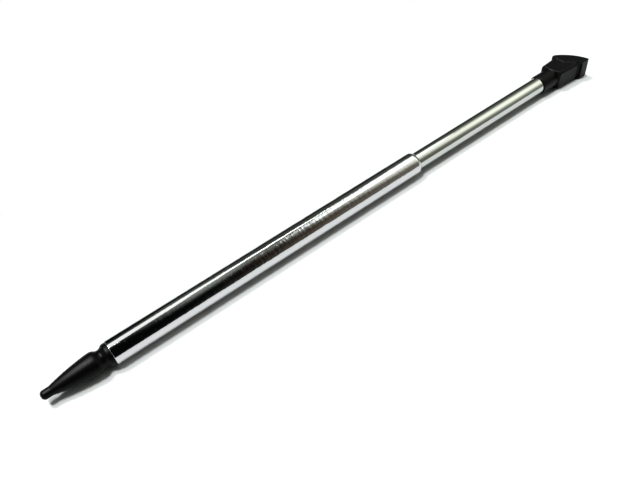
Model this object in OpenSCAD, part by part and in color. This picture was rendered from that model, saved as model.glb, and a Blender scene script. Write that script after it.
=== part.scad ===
// Telescoping stylus pen: a chromed barrel with a moulded tip, and a thinner
// chromed shaft with a moulded end cap that pulls out of the barrel's rear mouth.
// The pen lies along X with its tip towards -X. The origin is on the pen's axis,
// in the plane of the barrel's front rim. The shaft is drawn pulled right out.

/* [Barrel] */
// Outer diameter of the barrel tube
barrel_d = 4; // [3.9:0.05:4.4]
// Length of the barrel tube, from its front rim to the end of its mouth
barrel_l = 58; // [45:0.5:80]
// Wall of the barrel tube
barrel_wall = 0.25; // [0.2:0.01:0.28]
// Outer radius of the roll that closes the mouth in on the shaft
mouth_roll_r = 1; // [0.8:0.05:1.3]

/* [Shaft] */
// Outer diameter of the shaft tube
shaft_d = 3.1; // [2.8:0.05:3.15]
// Wall of the shaft tube
shaft_wall = 0.2; // [0.15:0.01:0.25]
// Length of shaft that shows when it is pulled right out
shaft_reach = 30.5; // [20:0.5:38]
// Length of the rolled bead that stops the shaft at the mouth
bead_l = 0.8; // [0.6:0.05:1.2]

/* [Friction parts] */
// Length of the bowed friction shims
shim_l = 5; // [3.5:0.1:8]
// Thickness of a friction shim
shim_t = 0.1; // [0.06:0.01:0.12]
// Length of a shim's level crown, which presses on the barrel
shim_crown_l = 1.6; // [0.8:0.1:3]
// Length of a shim's level foot at each end
shim_foot_l = 0.5; // [0.3:0.1:0.9]
// Slit left between the two shims, as an angle
shim_slit = 16; // [6:1:40]
// Length of the glide bush's flange, which runs in the barrel
flange_l = 1.4; // [1:0.1:3]
// Length of the glide bush's stem in the shaft
bush_stem_l = 3.2; // [2:0.1:5]
// Diameter of the air hole through the glide bush
air_hole_d = 1; // [0.6:0.1:1.6]
// Bevel on the glide bush's edges
bush_bevel = 0.25; // [0.1:0.05:0.4]

/* [Tip] */
// Length of the tip in front of the barrel's rim
tip_l = 10.7; // [9:0.1:15]
// Diameter of the blunt nib
nib_d = 1.45; // [1.25:0.05:1.8]
// Length of the straight nib, with its rounded end
nib_l = 1.5; // [1:0.1:2.4]
// Radius at the nib's end
nib_round = 0.6; // [0.2:0.05:0.6]
// Diameter of the shoulder behind the cone
shoulder_d = 3.55; // [3.3:0.05:3.8]
// Straight length of the shoulder
shoulder_l = 0.6; // [0.3:0.1:1.2]
// How far the cone swells beyond a straight taper
cone_swell = 0.14; // [0:0.02:0.3]
// Diameter of the waist that a holder's catch drops into
waist_d = 2.8; // [2.2:0.05:3]
// Length of the waist's floor
waist_l = 0.45; // [0.4:0.05:1.2]
// Length of each sloping side of the waist
waist_slope = 0.6; // [0.4:0.05:0.8]
// Radius where the waist's floor runs up into its sloping sides
waist_round = 0.3; // [0.1:0.05:0.35]
// Diameter of the collar against the barrel's rim
collar_d = 3.65; // [3.55:0.05:3.7]
// Length of the collar
collar_l = 0.6; // [0.3:0.05:1]
// Length of the tip's stem in the barrel
tip_stem_l = 8; // [5:0.5:12]
// Diameter of the hole cored into the tip's stem
core_d = 1.8; // [1:0.1:2.2]
// Depth of the hole cored into the tip's stem
core_depth = 6; // [3:0.5:7]

/* [End cap] */
// Length of the cap's stem in the shaft
cap_stem_l = 6; // [4:0.5:10]
// Diameter of the neck that meets the shaft
neck_d = 3.5; // [3.35:0.05:3.7]
// Length of the neck
neck_l = 3.1; // [1.5:0.1:4]
// Width of the cap's body at its nose
body_w = 3.9; // [3.7:0.05:4.3]
// Angle by which each side of the body leans out towards the flange
body_flare = 3; // [0:0.5:4]
// Height of the cap's body
body_h = 3.7; // [3.6:0.02:3.8]
// Length of the cap's body on its short side
body_l = 3.6; // [3:0.1:6]
// Radius along the body's long edges
body_edge_r = 0.5; // [0.15:0.05:0.6]
// Radius of the body's nose, where it steps down to the neck
nose_r = 1; // [0.4:0.05:1.1]
// Angle by which the nose leans back on the flange's long side
nose_lean = 9; // [0:1:12]
// Width of the end flange
flange_w = 5.2; // [4.8:0.1:6]
// Thickness of the end flange on its short side
flange_short_t = 0.45; // [0.35:0.05:1]
// Thickness of the end flange's lip on its long side
flange_lip_t = 1.75; // [1.2:0.05:1.8]
// How much further back the flange's front face lies on its long side
flange_front_run = 2.4; // [1.8:0.1:2.6]
// How much further back the flange's rear face lies on its long side
flange_rear_run = 3.75; // [3.5:0.05:4.4]
// Radius of the flange's bowed rear face, seen from above
flange_bow_r = 9; // [7:0.5:20]
// Radius along the flange's edges
flange_edge_r = 0.3; // [0.1:0.05:0.5]
// Width of the fingernail groove in front of the flange's lip
nail_w = 0.95; // [0.5:0.05:1]
// Depth of the fingernail groove in the side of the body
nail_depth = 0.35; // [0.15:0.05:0.5]
// Thickness of the rim that closes the groove above and below
nail_rim = 0.4; // [0.35:0.05:0.8]

/* [Fits] */
// Radial running clearance of the shaft in the mouth, and of the bush and bead in the bore
run_gap = 0.03; // [0.02:0.01:0.05]
// Radial room left at a friction shim's feet and at its crown
shim_gap = 0.02; // [0.01:0.005:0.03]
// Radial glue film round a stem
glue_film = 0.02; // [0.01:0.005:0.04]
// Axial room at each end of the friction shims, and between the bead and the mouth's roll
end_play = 0.05; // [0.03:0.01:0.1]
// Depth and spacing of the glue rings round a stem
glue_ring = 0.12; // [0.08:0.02:0.16]

/* [Hidden] */

round_fn = 96;
corner_steps = 8;
cone_steps = 16;
overlap = 0.4;

barrel_r = barrel_d / 2;
bore_r = barrel_r - barrel_wall;
shaft_r = shaft_d / 2;
shaft_bore_r = shaft_r - shaft_wall;

lip_r = shaft_r + run_gap;
roll_centre_r = barrel_r - mouth_roll_r;
roll_l = sqrt(pow(mouth_roll_r, 2) - pow(lip_r - roll_centre_r, 2));
roll_x = barrel_l - roll_l;

glide_r = bore_r - run_gap;
bead_h = glide_r - shaft_r;
bead_arc_r = (pow(bead_h, 2) + pow(bead_l / 2, 2)) / (2 * bead_h);
bead_x = roll_x - end_play - bead_l / 2;

shim_back_x = bead_x - bead_l / 2 - end_play;
shim_front_x = shim_back_x - shim_l;
shim_foot_r = shaft_r + shim_gap;
shim_crown_r = bore_r - shim_gap;
shim_sweep = 180 - shim_slit;
shaft_front_x = shim_front_x - end_play;

cap_x = barrel_l + shaft_reach;
body_x = cap_x + neck_l;
nose_run = body_w * tan(nose_lean);
flange_x = body_x + body_l;
flange_h = barrel_d;
flange_rear_x = flange_x + flange_short_t;
flange_long_x = flange_rear_x + flange_rear_run;
flange_mid = [(flange_rear_x + flange_long_x) / 2, 0];
flange_chord = norm([flange_rear_run, flange_w]);
flange_out = [flange_w, flange_rear_run] / flange_chord;
flange_centre = flange_mid - flange_out * sqrt(pow(flange_bow_r, 2) - pow(flange_chord / 2, 2));
flange_end_x = flange_centre[0] + flange_bow_r;

tip_stem_r = bore_r - glue_film;
cap_stem_r = shaft_bore_r - glue_film;
waist_back_x = -collar_l - waist_slope;
waist_front_x = waist_back_x - waist_l;
shoulder_back_x = waist_front_x - waist_slope;
shoulder_front_x = shoulder_back_x - shoulder_l;
nib_back_x = -tip_l + nib_l;

tip_edge_r = 0.12;

function xy(p) = [p[0], p[1]];
function unit(v) = v / norm(v);
function turned(v, a) = [v[0] * cos(a) - v[1] * sin(a), v[0] * sin(a) + v[1] * cos(a)];

// Arc that rounds corner b, between a and c, by the radius in b's third value
function rounded_corner(a, b, c) =
    b[2] == 0 ? [xy(b)] :
    let (u = unit(xy(a) - xy(b)), v = unit(xy(c) - xy(b)))
    let (half = acos(u * v) / 2)
    let (centre = xy(b) + unit(u + v) * b[2] / sin(half))
    let (start = xy(b) + u * b[2] / tan(half) - centre)
    let (turn = (180 - 2 * half) * sign(cross(v, u)))
    [for (i = [0:corner_steps]) centre + turned(start, turn * i / corner_steps)];

// Outline through corners given as [x, y, radius]
function rounded_outline(p) =
    let (n = len(p))
    [for (i = [0:n - 1]) each rounded_corner(p[(i + n - 1) % n], p[i], p[(i + 1) % n])];

// Points between p and q on a line that swells sideways in its middle
function swollen_line(p, q, swell, steps) =
    let (side = turned(unit(q - p), -90))
    [for (i = [1:steps - 1])
        let (t = i / steps)
        concat(p + t * (q - p) + side * 4 * swell * t * (1 - t), [0])];

// Turns a profile of [radius, x] round the pen's axis
module turned_on_axis() {
    rotate([0, 90, 0]) rotate_extrude($fn = round_fn) children();
}

// Sections across the pen, drawn in Y and Z and run along X from x1 to x2
module along_x(x1, x2) {
    translate([x1, 0, 0]) rotate([90, 0, 90]) linear_extrude(x2 - x1) children();
}

// Outlines seen from above, as high as h
module plan_of(h) {
    translate([0, 0, -h / 2]) linear_extrude(h) children();
}

module rounded_rectangle(w, h, r) {
    polygon(rounded_outline([
        [-w / 2, -h / 2, r], [w / 2, -h / 2, r], [w / 2, h / 2, r], [-w / 2, h / 2, r]
    ]));
}

// Grooves round a stem of radius r that hold the glue, between x1 and x2
module glue_rings(r, x1, x2) {
    for (i = [1:2]) {
        x = x1 + (x2 - x1) * i / 3;
        turned_on_axis() translate([r, x]) circle(glue_ring, $fn = round_fn);
    }
}

// Half-section of the barrel's outer or inner skin: a straight tube with a rolled end
module rolled_skin(r, roll) {
    square([r, roll_x]);
    translate([roll_centre_r, roll_x]) circle(roll, $fn = round_fn);
}

module tip() {
    nib_r = nib_d / 2;
    cone_front = [nib_r, nib_back_x];
    cone_back = [shoulder_d / 2, shoulder_front_x];
    profile = concat(
        [[0, -tip_l, 0], [nib_r, -tip_l, nib_round], [nib_r, nib_back_x, 0]],
        swollen_line(cone_front, cone_back, cone_swell, cone_steps),
        [
            [shoulder_d / 2, shoulder_front_x, 0],
            [shoulder_d / 2, shoulder_back_x, tip_edge_r],
            [waist_d / 2, waist_front_x, waist_round],
            [waist_d / 2, waist_back_x, waist_round],
            [collar_d / 2, -collar_l, tip_edge_r],
            [collar_d / 2, 0, 0],
            [tip_stem_r, 0, 0],
            [tip_stem_r, tip_stem_l, tip_edge_r],
            [core_d / 2, tip_stem_l, 0],
            [core_d / 2, tip_stem_l - core_depth, 0],
            [0, tip_stem_l - core_depth, 0]
        ]
    );
    color("#1c1c1e") difference() {
        turned_on_axis() polygon(rounded_outline(profile));
        glue_rings(tip_stem_r, 0, tip_stem_l);
    }
}

module barrel_tube() {
    color("silver") turned_on_axis() intersection() {
        difference() {
            rolled_skin(barrel_r, mouth_roll_r);
            rolled_skin(bore_r, mouth_roll_r - barrel_wall);
        }
        translate([lip_r, 0]) square([barrel_r - lip_r, barrel_l]);
    }
}

module shaft_tube() {
    shaft_l = cap_x - shaft_front_x;
    bead_centre_r = glide_r - bead_arc_r;
    color("silver") turned_on_axis() difference() {
        union() {
            translate([0, shaft_front_x]) square([shaft_r, shaft_l]);
            translate([bead_centre_r, bead_x]) circle(bead_arc_r, $fn = round_fn);
        }
        translate([0, shaft_front_x]) square([shaft_bore_r, shaft_l]);
        translate([bead_centre_r, bead_x]) circle(bead_arc_r - shaft_wall, $fn = round_fn);
    }
}

module glide_bush() {
    front = shaft_front_x - flange_l;
    back = shaft_front_x + bush_stem_l;
    color("#b5904a") turned_on_axis() polygon([
        [air_hole_d / 2, front],
        [glide_r - bush_bevel, front],
        [glide_r, front + bush_bevel],
        [glide_r, shaft_front_x],
        [cap_stem_r, shaft_front_x],
        [cap_stem_r, back - bush_bevel],
        [cap_stem_r - bush_bevel, back],
        [air_hole_d / 2, back]
    ]);
}

// Half-shell spring: level feet on the shaft, ramps, and a crown against the bore
module friction_shim() {
    ramp_l = (shim_l - shim_crown_l) / 2 - shim_foot_l;
    steps = [
        [shim_foot_r, 0], [shim_foot_r, shim_foot_l],
        [shim_crown_r - shim_t, shim_foot_l + ramp_l],
        [shim_crown_r - shim_t, shim_l - shim_foot_l - ramp_l],
        [shim_foot_r, shim_l - shim_foot_l], [shim_foot_r, shim_l]
    ];
    outside = [for (i = [len(steps) - 1:-1:0]) steps[i] + [shim_t, 0]];
    rotate([0, 90, 0]) translate([0, 0, shim_front_x]) rotate(180 - shim_sweep / 2)
        rotate_extrude(angle = shim_sweep, $fn = round_fn) polygon(concat(steps, outside));
}

module friction_shim_upper() {
    color("#c08a55") friction_shim();
}

module friction_shim_lower() {
    color("#c08a55") rotate([180, 0, 0]) friction_shim();
}

// Bar with one rounded side that leans out towards the flange
module body_side() {
    side_y = -body_w / 2;
    translate([body_x, 0, 0]) rotate([0, 0, -body_flare]) along_x(-neck_l, flange_end_x - body_x)
        polygon(rounded_outline([
            [side_y, -body_h / 2, body_edge_r], [flange_w, -body_h / 2, 0],
            [flange_w, body_h / 2, 0], [side_y, body_h / 2, body_edge_r]
        ]));
}

// Body of the cap: a flared bar that runs into the flange, with its corners turned down at its leaning nose
module cap_body() {
    corner_r = norm([body_w, body_h]) / 2 + nose_r * sin(nose_lean + body_flare);
    reach = flange_end_x - body_x;
    end_x = flange_x + flange_short_t / 2;
    intersection() {
        body_side();
        mirror([0, 1, 0]) body_side();
        translate([body_x + nose_run / 2, 0, 0]) rotate([0, 0, nose_lean])
            turned_on_axis() polygon(rounded_outline([
                [0, 0, 0], [corner_r, 0, nose_r], [corner_r, nose_r, 0],
                [flange_w, nose_r, 0], [flange_w, reach, 0], [0, reach, 0]
            ]));
        plan_of(flange_h) polygon([
            [cap_x, flange_w], [end_x, flange_w], [end_x, 0],
            [end_x + flange_front_run, -flange_w / 2], [cap_x, -flange_w / 2]
        ]);
    }
}

// Oblique flange that closes the cap: its rear face is bowed, with rounded rims
module cap_flange() {
    half_w = flange_w / 2;
    intersection() {
        plan_of(flange_h) polygon([
            [flange_x, half_w], [flange_x, 0], [flange_x + flange_front_run, -half_w],
            [flange_end_x, -half_w], [flange_end_x, half_w]
        ]);
        translate([flange_centre[0], flange_centre[1], 0]) rotate_extrude($fn = 4 * round_fn)
            polygon(rounded_outline([
                [0, -flange_h / 2, 0], [flange_bow_r, -flange_h / 2, flange_edge_r],
                [flange_bow_r, flange_h / 2, flange_edge_r], [0, flange_h / 2, 0]
            ]));
        along_x(flange_x, flange_end_x) rounded_rectangle(flange_w, flange_h, flange_edge_r);
    }
}

// Upright groove for a fingernail, in front of the flange's lip and between its rims
module nail_groove() {
    lip_x = flange_long_x - flange_lip_t;
    floor_y = nail_depth - body_w / 2 - (lip_x - body_x) * tan(body_flare);
    plan_of(flange_h - 2 * nail_rim) translate([lip_x - nail_w / 2, floor_y - nail_w / 2]) {
        circle(nail_w / 2, $fn = round_fn);
        translate([-nail_w / 2, -flange_w]) square([nail_w, flange_w]);
    }
}

module end_cap() {
    color("#1c1c1e") difference() {
        union() {
            turned_on_axis() polygon(rounded_outline([
                [0, cap_x - cap_stem_l, 0], [cap_stem_r, cap_x - cap_stem_l, tip_edge_r],
                [cap_stem_r, cap_x, 0], [neck_d / 2, cap_x, tip_edge_r],
                [neck_d / 2, body_x + nose_run + overlap, 0], [0, body_x + nose_run + overlap, 0]
            ]));
            cap_body();
            cap_flange();
        }
        glue_rings(cap_stem_r, cap_x - cap_stem_l, cap_x);
        nail_groove();
    }
}

tip();
barrel_tube();
shaft_tube();
glide_bush();
friction_shim_upper();
friction_shim_lower();
end_cap();
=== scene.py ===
import math

import bmesh
import bpy
from mathutils import Matrix, Vector


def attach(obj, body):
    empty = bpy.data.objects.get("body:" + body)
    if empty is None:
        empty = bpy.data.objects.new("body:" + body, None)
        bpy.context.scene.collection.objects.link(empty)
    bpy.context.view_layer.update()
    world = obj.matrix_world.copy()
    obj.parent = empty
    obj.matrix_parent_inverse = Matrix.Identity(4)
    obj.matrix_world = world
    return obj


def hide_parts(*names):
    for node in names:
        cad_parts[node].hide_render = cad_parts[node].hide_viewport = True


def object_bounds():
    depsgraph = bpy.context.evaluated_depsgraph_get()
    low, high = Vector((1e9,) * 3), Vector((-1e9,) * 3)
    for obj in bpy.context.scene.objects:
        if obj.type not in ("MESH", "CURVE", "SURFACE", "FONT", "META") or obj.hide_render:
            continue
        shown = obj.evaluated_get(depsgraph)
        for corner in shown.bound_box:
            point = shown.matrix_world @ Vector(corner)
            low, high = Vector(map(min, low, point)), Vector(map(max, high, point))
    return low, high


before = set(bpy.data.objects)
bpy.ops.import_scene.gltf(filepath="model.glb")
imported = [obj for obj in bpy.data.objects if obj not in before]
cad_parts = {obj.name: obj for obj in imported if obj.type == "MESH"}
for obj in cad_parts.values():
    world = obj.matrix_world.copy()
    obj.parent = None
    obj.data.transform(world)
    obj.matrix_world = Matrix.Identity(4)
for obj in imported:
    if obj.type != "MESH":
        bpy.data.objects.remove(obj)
cad_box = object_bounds()

MM = 0.001

# Fineness of the turned meshes
SEGMENTS = 256
ARC_STEPS = 10
SHARP_ANGLE = math.radians(32)

# Sizes of the two tubes, in mm, as the solids have them
BARREL_R = 2.0
BORE_R = 1.75
BARREL_L = 58.0
ROLL_R = 1.0
LIP_R = 1.58
SHAFT_R = 1.55
SHAFT_BORE_R = 1.35
SHAFT_REACH = 30.5
BEAD_L = 0.8
RUN_GAP = 0.03
END_PLAY = 0.05
SHIM_L = 5.0


# Shapes

def rounded(corners):
    """Points of a closed outline through corners given as (x, r, corner radius)."""
    points = []
    count = len(corners)
    for i, (x, r, radius) in enumerate(corners):
        b = Vector((x, r))
        if radius == 0:
            points.append(b)
            continue
        to_a = (Vector(corners[i - 1][:2]) - b).normalized()
        to_c = (Vector(corners[(i + 1) % count][:2]) - b).normalized()
        half = to_a.angle(to_c) / 2
        centre = b + (to_a + to_c).normalized() * radius / math.sin(half)
        start = b + to_a * radius / math.tan(half) - centre
        end = b + to_c * radius / math.tan(half) - centre
        turn = start.angle_signed(end)
        for k in range(ARC_STEPS + 1):
            a = -turn * k / ARC_STEPS
            points.append(centre + Matrix.Rotation(a, 2) @ start)
    return [(p[0], p[1]) for p in points]


def arc(centre_x, centre_r, radius, start, end, steps):
    """Points on an arc in the (x, r) plane, with angles in degrees from +x towards +r."""
    return [
        (centre_x + radius * math.cos(a), centre_r + radius * math.sin(a))
        for a in (math.radians(start + (end - start) * k / steps) for k in range(steps + 1))
    ]


def shade_smooth(mesh):
    mesh.polygons.foreach_set("use_smooth", [True] * len(mesh.polygons))


def place_in_scene(name, mesh):
    piece = bpy.data.objects.new(name, mesh)
    bpy.context.scene.collection.objects.link(piece)
    return piece


def turned(name, outline, relief=None):
    """A piece turned round X from a closed outline of (x, r) points in mm.

    relief(x, r, angle) gives what is added to r.
    """
    verts = []
    rings = []
    for x, r in outline:
        if r < 1e-6:
            rings.append([len(verts)] * SEGMENTS)
            verts.append((x * MM, 0.0, 0.0))
            continue
        rings.append(range(len(verts), len(verts) + SEGMENTS))
        for k in range(SEGMENTS):
            a = 2 * math.pi * k / SEGMENTS
            q = (r + (relief(x, r, a) if relief else 0)) * MM
            verts.append((x * MM, q * math.cos(a), q * math.sin(a)))
    faces = []
    for i, ring in enumerate(rings):
        following = rings[(i + 1) % len(rings)]
        for k in range(SEGMENTS):
            j = (k + 1) % SEGMENTS
            corners = list(dict.fromkeys((ring[k], ring[j], following[j], following[k])))
            if len(corners) > 2:
                faces.append(corners)
    mesh = bpy.data.meshes.new(name)
    mesh.from_pydata(verts, [], faces)
    bm = bmesh.new()
    bm.from_mesh(mesh)
    bmesh.ops.recalc_face_normals(bm, faces=bm.faces)
    bm.to_mesh(mesh)
    bm.free()
    shade_smooth(mesh)
    mesh.set_sharp_from_angle(angle=SHARP_ANGLE)
    return place_in_scene(name, mesh)


def softened(name, node, grid, passes):
    """A node's solid on a fine grid of cells in mm, with its edges smoothed round as a moulding's are."""
    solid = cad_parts[node]
    piece = place_in_scene(name, solid.data.copy())
    remesh = piece.modifiers.new("fine_grid", "REMESH")
    remesh.mode = "VOXEL"
    remesh.voxel_size = grid * MM
    smooth = piece.modifiers.new("round_edges", "SMOOTH")
    smooth.factor = 0.5
    smooth.iterations = passes
    shaped = piece.evaluated_get(bpy.context.evaluated_depsgraph_get())
    mesh = bpy.data.meshes.new_from_object(shaped)
    # Corners 0 and 6 of the solid's box are its lowest and highest, and the piece stays between them
    low, high = (Vector(solid.bound_box[i]) for i in (0, 6))
    for vertex in mesh.vertices:
        vertex.co = [min(max(c, a), b) for c, a, b in zip(vertex.co, low, high)]
    piece.modifiers.clear()
    piece.data = mesh
    mesh.name = name
    mesh.materials.clear()
    shade_smooth(mesh)
    return piece


# Materials

class Nodes:
    """A material's node tree, with short calls that make and join nodes."""

    SOCKETS = {
        "colour": "Base Color",
        "roughness": "Roughness",
        "metallic": "Metallic",
        "normal": "Normal",
        "specular": "Specular IOR Level",
    }

    def __init__(self, name):
        self.material = bpy.data.materials.new(name)
        self.material.use_nodes = True
        self.tree = self.material.node_tree
        self.shader = self.tree.nodes["Principled BSDF"]

    def feed(self, socket, value):
        if isinstance(value, bpy.types.NodeSocket):
            self.tree.links.new(value, socket)
        else:
            socket.default_value = value

    def add(self, kind, inputs, **settings):
        node = self.tree.nodes.new(kind)
        for key, value in settings.items():
            setattr(node, key, value)
        for key, value in inputs.items():
            self.feed(node.inputs[key], value)
        return node

    def place(self, scale):
        """Object coordinates in metres, times a scale for each axis."""
        coords = self.add("ShaderNodeTexCoord", {}).outputs["Object"]
        return self.add("ShaderNodeMapping", {"Vector": coords, "Scale": scale}).outputs[0]

    def along_pen(self):
        return self.add("ShaderNodeSeparateXYZ", {"Vector": self.place((1, 1, 1))}).outputs["X"]

    def noise(self, scale, detail, roughness=0.55):
        inputs = {"Vector": self.place(scale), "Scale": 1.0, "Detail": detail, "Roughness": roughness}
        return self.add("ShaderNodeTexNoise", inputs).outputs["Fac"]

    def span(self, value, low, high, to_low, to_high):
        """A value that goes smoothly from to_low to to_high while the given one goes from low to high."""
        return self.add(
            "ShaderNodeMapRange",
            {"Value": value, "From Min": low, "From Max": high, "To Min": to_low, "To Max": to_high},
            interpolation_type="SMOOTHSTEP",
        ).outputs["Result"]

    def calc(self, operation, a, b):
        return self.add("ShaderNodeMath", {0: a, 1: b}, operation=operation).outputs[0]

    def ramp(self, value, low, high, colour_low, colour_high):
        node = self.add("ShaderNodeValToRGB", {"Fac": value})
        first, last = node.color_ramp.elements
        first.position = low
        first.color = (*colour_low, 1)
        last.position = high
        last.color = (*colour_high, 1)
        return node.outputs["Color"]

    def bump(self, height, depth, normal=None):
        """A normal for a relief whose depth is in mm, on top of another relief's normal if there is one."""
        inputs = {"Height": height, "Distance": depth * MM}
        if normal is not None:
            inputs["Normal"] = normal
        return self.add("ShaderNodeBump", inputs).outputs["Normal"]

    def set(self, **values):
        for key, value in values.items():
            self.feed(self.shader.inputs[self.SOCKETS[key]], value)
        return self.material


def chrome(name, tint, ring_depth):
    """Plating over ground tube: fine rings from the grinding, a few hairlines and scuffs, and smudges."""
    n = Nodes(name)
    waves = n.noise((90, 500, 500), detail=1)
    # The rings are fainter near the barrel's front rim and uneven all along
    worn = n.calc(
        "MULTIPLY",
        n.span(n.along_pen(), 6 * MM, 14 * MM, 0.35, 1),
        n.span(n.noise((260, 700, 700), detail=2), 0.35, 0.6, 0.6, 1.15),
    )
    rings = n.calc("MULTIPLY", n.noise((2300, 900, 900), detail=3, roughness=0.6), worn)
    hairlines = n.noise((60, 9000, 9000), detail=4, roughness=0.6)
    scuffs = n.span(n.noise((900, 2600, 2600), detail=5, roughness=0.7), 0.60, 0.74, 0, 1)
    smudges = n.noise((160, 420, 420), detail=3)
    shade = n.ramp(smudges, 0.3, 0.75, [c * 0.95 for c in tint], tint)
    rough = n.calc("ADD", n.span(smudges, 0.35, 0.75, 0.04, 0.08), n.calc("MULTIPLY", scuffs, 0.10))
    normal = n.bump(waves, depth=0.004)
    normal = n.bump(rings, ring_depth, normal)
    normal = n.bump(hairlines, depth=0.0008, normal=normal)
    normal = n.bump(scuffs, depth=0.003, normal=normal)
    return n.set(colour=shade, roughness=rough, metallic=1.0, normal=normal)


def black_plastic(name, gloss, smooth, rough):
    """Moulded black plastic: fine grain, faint flow marks and rubbed patches."""
    n = Nodes(name)
    grain = n.noise((9000, 9000, 9000), detail=3)
    flow = n.noise((220, 900, 900), detail=3)
    rubbed = n.span(n.noise((500, 700, 700), detail=6, roughness=0.7), 0.5, 0.72, 0, 1)
    colour = n.ramp(flow, 0.3, 0.75, (0.0003, 0.0003, 0.00035), (0.0008, 0.0008, 0.0009))
    dull = n.calc("ADD", n.span(flow, 0.3, 0.7, smooth, rough), n.calc("MULTIPLY", rubbed, 0.05))
    return n.set(colour=colour, roughness=dull, normal=n.bump(grain, depth=0.003), specular=gloss)


def turned_metal(name, dark, light, pitch):
    """Metal with fine tool lines round the axis, about pitch of them to the metre."""
    n = Nodes(name)
    lines = n.noise((pitch, 40, 40), detail=4, roughness=0.6)
    stain = n.noise((700, 700, 700), detail=4)
    return n.set(
        colour=n.ramp(stain, 0.3, 0.7, dark, light),
        roughness=n.span(lines, 0.3, 0.7, 0.20, 0.36),
        metallic=1.0,
        normal=n.bump(lines, depth=0.006),
    )


# Pieces

roll_x = BARREL_L - math.sqrt(ROLL_R**2 - (LIP_R - (BARREL_R - ROLL_R))**2)
bead_x = roll_x - END_PLAY - BEAD_L / 2
shaft_front = bead_x - BEAD_L / 2 - END_PLAY - SHIM_L - END_PLAY
cap_x = BARREL_L + SHAFT_REACH


def tip_outline():
    """The tip: nib, swollen cone, shoulder, waist, collar and the stem in the barrel.

    The shoulder, the waist and the collar have rounder corners than in the solid.
    """
    length = 10.7
    nib_r = 0.725
    nib_round = 0.6
    nib_back = -9.2
    swell = 0.14
    cone_steps = 40
    shoulder_r = 1.775
    shoulder_front = -2.85
    shoulder_back = -2.25
    shoulder_edge = 0.9
    waist_r = 1.4
    waist_front = -1.65
    waist_back = -1.2
    waist_hollow = 0.72
    collar_r = 1.825
    collar_front = -0.6
    collar_edge = 0.6
    stem_r = 1.73
    stem_end = 8
    stem_edge = 0.12
    core_r = 0.9
    core_end = 2
    cone = Vector((shoulder_front - nib_back, shoulder_r - nib_r))
    side = Vector((-cone[1], cone[0])).normalized()
    corners = [(-length, 0, 0), (-length, nib_r, nib_round), (nib_back, nib_r, 0)]
    for i in range(1, cone_steps):
        t = i / cone_steps
        p = Vector((nib_back, nib_r)) + t * cone + side * 4 * swell * t * (1 - t)
        corners.append((p[0], p[1], 0))
    corners += [
        (shoulder_front, shoulder_r, 0), (shoulder_back, shoulder_r, shoulder_edge),
        (waist_front, waist_r, waist_hollow), (waist_back, waist_r, waist_hollow),
        (collar_front, collar_r, collar_edge), (0, collar_r, 0),
        (0, stem_r, 0), (stem_end, stem_r, stem_edge),
        (stem_end, core_r, 0), (core_end, core_r, 0), (core_end, 0, 0),
    ]
    return rounded(corners)


def parting_line(x, r, a):
    """A fine raised seam along the tip's two sides, where the mould's halves met."""
    seam_end = -0.3
    least_r = 0.3
    height = 0.02
    half_width = 0.035
    if x > seam_end or r < least_r:
        return 0.0
    return height * math.exp(-(math.sin(a) * r / half_width)**2)


def barrel_outline():
    """The barrel: a straight tube whose rear end is rolled in to a lip round the shaft."""
    rim_edge = 0.07
    rim_l = 1
    lip_edge = 0.012
    lip_l = 0.05
    lip_turn = 3
    wall = BARREL_R - BORE_R
    centre = BARREL_R - ROLL_R
    rise = LIP_R - centre
    outer_end = math.degrees(math.asin(rise / ROLL_R))
    inner_end = math.degrees(math.asin(rise / (ROLL_R - wall)))
    rim = rounded([(0, BORE_R, 0), (0, BARREL_R, rim_edge), (rim_l, BARREL_R, 0), (rim_l, BORE_R, 0)])
    front = [p for p in rim if p[0] < rim_l / 2]
    outer = arc(roll_x, centre, ROLL_R, 90, outer_end + lip_turn, steps=36)
    lip = [(BARREL_L - lip_edge, LIP_R + lip_edge), (BARREL_L - lip_l, LIP_R)]
    inner = arc(roll_x, centre, ROLL_R - wall, inner_end, 90, steps=20)
    return front + outer + lip + inner


def shaft_outline():
    """The shaft: a tube with a stop bead rolled into its front end."""
    edge = 0.05
    wall = SHAFT_R - SHAFT_BORE_R
    height = BORE_R - RUN_GAP - SHAFT_R
    bead_r = (height**2 + (BEAD_L / 2)**2) / (2 * height)
    inner_r = bead_r - wall
    centre = BORE_R - RUN_GAP - bead_r
    reach = math.degrees(math.acos((SHAFT_R - centre) / bead_r))
    groove = math.degrees(math.acos((SHAFT_BORE_R - centre) / inner_r))
    front = (shaft_front, SHAFT_BORE_R)
    back = (cap_x, SHAFT_BORE_R)
    start = rounded([(*front, 0), (shaft_front, SHAFT_R, edge), (bead_x, SHAFT_R, 0)])[1:-1]
    bead = arc(bead_x, centre, bead_r, 90 + reach, 90 - reach, steps=16)
    end = rounded([(bead_x, SHAFT_R, 0), (cap_x, SHAFT_R, edge), (*back, 0)])[1:-1]
    inside = arc(bead_x, centre, inner_r, 90 - groove, 90 + groove, steps=12)
    return start + bead + end + [back] + inside + [front]


tip_plastic = black_plastic("black_plastic_worn", gloss=0.068, smooth=0.36, rough=0.41)
cap_plastic = black_plastic("black_plastic_moulded", gloss=0.09, smooth=0.36, rough=0.44)
barrel_plating = chrome("barrel_chrome_scuffed", tint=(0.60, 0.60, 0.605), ring_depth=0.021)
shaft_plating = chrome("shaft_chrome_polished", tint=(0.53, 0.55, 0.525), ring_depth=0.006)
brass = turned_metal("brass_turned", dark=(0.52, 0.37, 0.14), light=(0.72, 0.55, 0.26), pitch=24000)
bronze = turned_metal("bronze_rolled", dark=(0.50, 0.29, 0.14), light=(0.70, 0.46, 0.27), pitch=6000)

tip = turned("tip_moulding", tip_outline(), parting_line)
barrel = turned("barrel_tube_rolled", barrel_outline())
shaft = turned("shaft_tube_drawn", shaft_outline())
cap = softened("end_cap_moulding", "end_cap", grid=0.06, passes=8)

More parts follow.
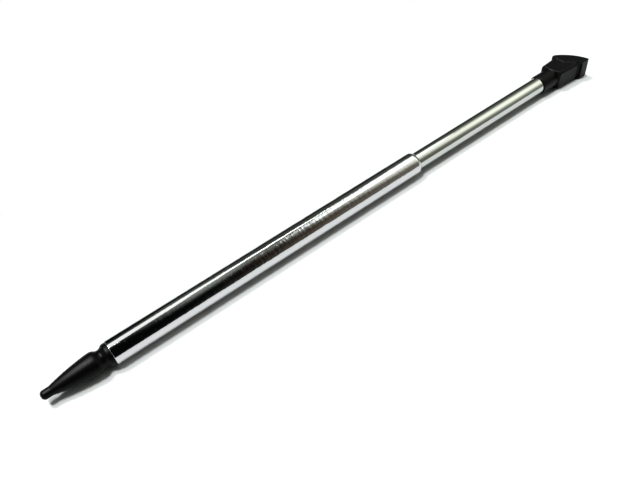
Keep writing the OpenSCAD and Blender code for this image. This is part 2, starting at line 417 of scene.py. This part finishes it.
for piece, body, node, slot, look in (
    (tip, "barrel", "tip", "black_plastic", tip_plastic),
    (barrel, "barrel", "barrel_tube", "barrel_chrome", barrel_plating),
    (shaft, "shaft", "shaft_tube", "shaft_chrome", shaft_plating),
    (cap, "shaft", "end_cap", "black_plastic", cap_plastic),
):
    piece.data.materials.append(look)
    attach(piece, body)
    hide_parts(node)

for node, look in (("glide_bush", brass), ("friction_shim_upper", bronze), ("friction_shim_lower", bronze)):
    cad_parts[node].material_slots[0].material = look


# Floor, light and camera

left = -0.08
right = 0.17
near = -0.06
far = 0.04
level = cad_box[0].z
floor_mesh = bpy.data.meshes.new("floor")
floor_mesh.from_pydata(
    [(left, near, level), (right, near, level), (right, far, level), (left, far, level)], [], [(0, 1, 2, 3)]
)
floor = place_in_scene("floor", floor_mesh)
floor_look = Nodes("floor_pale").set(colour=(0.467, 0.48, 0.485, 1), roughness=0.7, specular=0.1)
floor_mesh.materials.append(floor_look)


def facing(tilt, height):
    """Direction that leans by tilt towards +X, and across the pen stands height degrees up from -Y."""
    t = math.radians(tilt)
    e = math.radians(height)
    return Vector((math.sin(t), -math.cos(t) * math.cos(e), math.cos(t) * math.sin(e)))


def studio(panels, dim, pale):
    """A dim room with soft light panels. The camera itself sees a pale backdrop instead."""
    world = bpy.data.worlds.new("studio")
    bpy.context.scene.world = world
    world.use_nodes = True
    tree = world.node_tree

    def add(kind, operation, *inputs):
        node = tree.nodes.new(kind)
        node.operation = operation
        for socket, value in zip(node.inputs, inputs):
            if isinstance(value, bpy.types.NodeSocket):
                tree.links.new(value, socket)
            else:
                socket.default_value = value
        return node

    def calc(operation, *inputs):
        return add("ShaderNodeMath", operation, *inputs).outputs[0]

    def vector(operation, *inputs):
        return add("ShaderNodeVectorMath", operation, *inputs).outputs[0]

    def along(axis):
        return add("ShaderNodeVectorMath", "DOT_PRODUCT", direction, axis).outputs["Value"]

    def soft(value, start, end):
        node = tree.nodes.new("ShaderNodeMapRange")
        node.interpolation_type = "SMOOTHERSTEP"
        tree.links.new(value, node.inputs["Value"])
        node.inputs["From Min"].default_value = start
        node.inputs["From Max"].default_value = end
        return node.outputs["Result"]

    direction = tree.nodes.new("ShaderNodeTexCoord").outputs["Generated"]
    total = None
    for tilt, height, half_tilt, half_height, turn, edge, colour in panels:
        middle = facing(tilt, height)
        side = (facing(tilt + 0.5, height) - facing(tilt - 0.5, height)).normalized()
        side.rotate(Matrix.Rotation(math.radians(turn), 3, middle))
        up = middle.cross(side)
        across = calc("DIVIDE", along(side), math.sin(math.radians(half_tilt)))
        upward = calc("DIVIDE", along(up), math.sin(math.radians(half_height)))
        squares = calc("ADD", calc("MULTIPLY", across, across), calc("MULTIPLY", upward, upward))
        spread = soft(calc("SQRT", squares), 1 + edge, 1 - edge)
        shape = calc("MULTIPLY", spread, calc("GREATER_THAN", along(middle), 0.0))
        glow = add("ShaderNodeVectorMath", "SCALE", colour)
        tree.links.new(shape, glow.inputs["Scale"])
        total = glow.outputs[0] if total is None else vector("ADD", total, glow.outputs[0])
    total = vector("ADD", total, dim)
    background = tree.nodes["Background"]
    tree.links.new(total, background.inputs["Color"])
    backdrop = tree.nodes.new("ShaderNodeBackground")
    backdrop.inputs["Color"].default_value = (*pale, 1)
    seen = tree.nodes.new("ShaderNodeMixShader")
    path = tree.nodes.new("ShaderNodeLightPath")
    tree.links.new(path.outputs["Is Camera Ray"], seen.inputs["Fac"])
    tree.links.new(background.outputs[0], seen.inputs[1])
    tree.links.new(backdrop.outputs[0], seen.inputs[2])
    tree.links.new(seen.outputs[0], tree.nodes["World Output"].inputs["Surface"])


# Panels: tilt and height of the middle, half sizes and turn in degrees, softness of the edge, colour
studio(
    panels=(
        # Two keys, which cast the shadow in two steps
        (-10.5, 93.5, 3.5, 6, 0, 0.35, (169, 169, 169)),
        (-10.5, 112, 3.5, 5, 0, 0.35, (171, 171, 171)),
        # Panels that the chrome mirrors in the main view
        (-11, 107.8, 29.8, 14.5, 40, 0.05, (1.40, 1.43, 1.40)),
        (15.6, 117, 6.4, 3.25, -30, 0.05, (4.9, 5.4, 5.0)),
        (27.1, 98.2, 7.5, 20.3, -9.5, 0.08, (1.66, 1.78, 1.80)),
        (41.3, 76.4, 16.5, 22, 21.9, 0.95, (1.57, 1.59, 1.42)),
        (61.4, 56.5, 27, 50.5, 0, 0.80, (0.312, 0.323, 0.275)),
        (24.5, 18, 9, 40, 0, 0.80, (0.056, 0.035, 0.024)),
        (7.7, 105.5, 5, 28.5, 0, 0.80, (0.29, 0.32, 0.29)),
        # Dim panels beyond the tip, mirrored in views from the cap's end
        (-54, 100, 19, 17, 0, 0.50, (0.90, 0.92, 0.90)),
        (-62, 150, 24, 12, 0, 0.60, (0.55, 0.56, 0.55)),
        (-62, 38, 24, 9, 0, 0.60, (0.40, 0.41, 0.40)),
    ),
    dim=(0.002, 0.003, 0.003),
    pale=(1.0, 1.0, 1.0),
)

camera = bpy.data.objects.new("camera", bpy.data.cameras.new("camera"))
bpy.context.scene.collection.objects.link(camera)
camera.data.sensor_width = 36
camera.data.lens = 39.03
camera.data.clip_start = 0.005
camera.data.clip_end = 20
stand = Vector((-2.55, -63.78, 81.95)) * MM
aim = Vector((35.11, -3.056, 0)) * MM
roll = math.radians(7.54)
camera.matrix_world = (
    Matrix.Translation(stand)
    @ (aim - stand).to_track_quat("-Z", "Y").to_matrix().to_4x4()
    @ Matrix.Rotation(-roll, 4, "Z")
)
bpy.context.scene.camera = camera
bpy.context.scene.view_settings.view_transform = "Standard"
